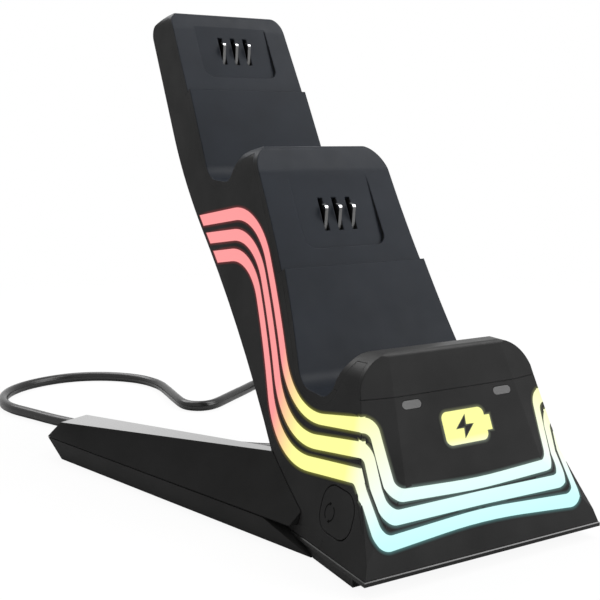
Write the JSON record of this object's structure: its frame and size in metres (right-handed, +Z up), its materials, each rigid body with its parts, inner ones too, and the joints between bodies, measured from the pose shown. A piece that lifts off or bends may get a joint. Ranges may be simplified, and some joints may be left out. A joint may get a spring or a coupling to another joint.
{
  "type": "controller charging dock",
  "caption": "Tiered charging stand for game controllers: leaning wavy column with padded seats, spring contacts, glowing side stripes, splayed rear legs and a supply lead.",
  "frame": {"origin": "on the table, centred under the stand's own bounding box without its lead", "axes": "+Z up, +Y to the back (the column leans to +Y), +X to the right seen from the front"},
  "size_m": [0.233, 0.2809, 0.1671],
  "materials": {
    "shell_black": "fine satin moulded black",
    "panel_dark": "smooth satin, slightly blue-grey",
    "leg_black": "satin black",
    "leg_gloss": "polished top facet, satin sides",
    "base_black": "fine matt",
    "rubber_black": "soft matt rubber",
    "button_black": "satin, with a sunk ring-of-arrows sign",
    "indicator_grey": "frosted light window",
    "contact_metal": "plated spring metal",
    "carrier_black": "matt moulded",
    "board_green": "coated circuit board",
    "switch_grey": "matt",
    "lead_black": "glossy soft sheath",
    "tie_black": "woven hook band",
    "screw_steel": "dark zinc",
    "plug_metal": "plain",
    "light_upper": "translucent diffuser lit from inside",
    "light_middle": "translucent diffuser lit from inside",
    "light_lower": "translucent diffuser lit from inside",
    "sign_lime": "translucent diffuser lit from inside"
  },
  "bodies": {
    "base": {"main_shell": "shell_black", "lip_cap": "shell_black", "seat_cover_lower": "panel_dark", "seat_cover_upper": "panel_dark", "contact_panel_lower": "panel_dark", "contact_panel_upper": "panel_dark", "rear_cover": "shell_black", "base_plate": "base_black", "front_feet": "rubber_black", "left_leg_shell": "leg_gloss", "right_leg_shell": "leg_gloss", "left_leg_sole": "leg_black", "right_leg_sole": "leg_black", "left_leg_pad": "rubber_black", "right_leg_pad": "rubber_black", "contact_block_lower": "carrier_black", "contact_block_upper": "carrier_black", "contact_board_lower": "board_green", "contact_board_upper": "board_green", "light_band_upper": "light_upper", "light_band_middle": "light_middle", "light_band_lower": "light_lower", "emblem_window": "sign_lime", "indicator_left": "indicator_grey", "indicator_right": "indicator_grey", "button_switch": "switch_grey", "main_board": "board_green", "strain_relief": "rubber_black", "cable": "lead_black", "cable_coil": "lead_black", "coil_tie": "tie_black", "cable_tail": "lead_black", "plug_body": "lead_black", "plug_shell": "plug_metal", "rear_screws": "screw_steel", "base_screws": "screw_steel", "leg_screws": "screw_steel"},
    "mode_button": {"mode_button": "button_black"},
    "contact_lower_1": {"contact_lower_1": "contact_metal"},
    "contact_lower_2": {"contact_lower_2": "contact_metal"},
    "contact_lower_3": {"contact_lower_3": "contact_metal"},
    "contact_upper_1": {"contact_upper_1": "contact_metal"},
    "contact_upper_2": {"contact_upper_2": "contact_metal"},
    "contact_upper_3": {"contact_upper_3": "contact_metal"}
  },
  "joints": [
    {"name": "mode_button_press", "type": "slide", "parent": "base", "child": "mode_button", "axis": [1, 0, 0], "range_m": [0, 0.0008], "stiffness_N_per_m": 600, "springref_m": -0.0008},
    {"name": "contact_lower_1_flex", "type": "hinge", "parent": "base", "child": "contact_lower_1", "pos_m": [-0.0054, -0.013, 0.08432], "axis": [-1, 0, 0], "range_deg": [0, 7], "stiffness_Nm_per_rad": 0.05, "springref_deg": -2.86},
    {"name": "contact_lower_2_flex", "type": "hinge", "parent": "base", "child": "contact_lower_2", "pos_m": [0, -0.013, 0.08432], "axis": [-1, 0, 0], "range_deg": [0, 7], "stiffness_Nm_per_rad": 0.05, "springref_deg": -2.86},
    {"name": "contact_lower_3_flex", "type": "hinge", "parent": "base", "child": "contact_lower_3", "pos_m": [0.0054, -0.013, 0.08432], "axis": [-1, 0, 0], "range_deg": [0, 7], "stiffness_Nm_per_rad": 0.05, "springref_deg": -2.86},
    {"name": "contact_upper_1_flex", "type": "hinge", "parent": "base", "child": "contact_upper_1", "pos_m": [-0.0054, 0.0663, 0.14342], "axis": [-1, 0, 0], "range_deg": [0, 7], "stiffness_Nm_per_rad": 0.05, "springref_deg": -2.86},
    {"name": "contact_upper_2_flex", "type": "hinge", "parent": "base", "child": "contact_upper_2", "pos_m": [0, 0.0663, 0.14342], "axis": [-1, 0, 0], "range_deg": [0, 7], "stiffness_Nm_per_rad": 0.05, "springref_deg": -2.86},
    {"name": "contact_upper_3_flex", "type": "hinge", "parent": "base", "child": "contact_upper_3", "pos_m": [0.0054, 0.0663, 0.14342], "axis": [-1, 0, 0], "range_deg": [0, 7], "stiffness_Nm_per_rad": 0.05, "springref_deg": -2.86}
  ]
}
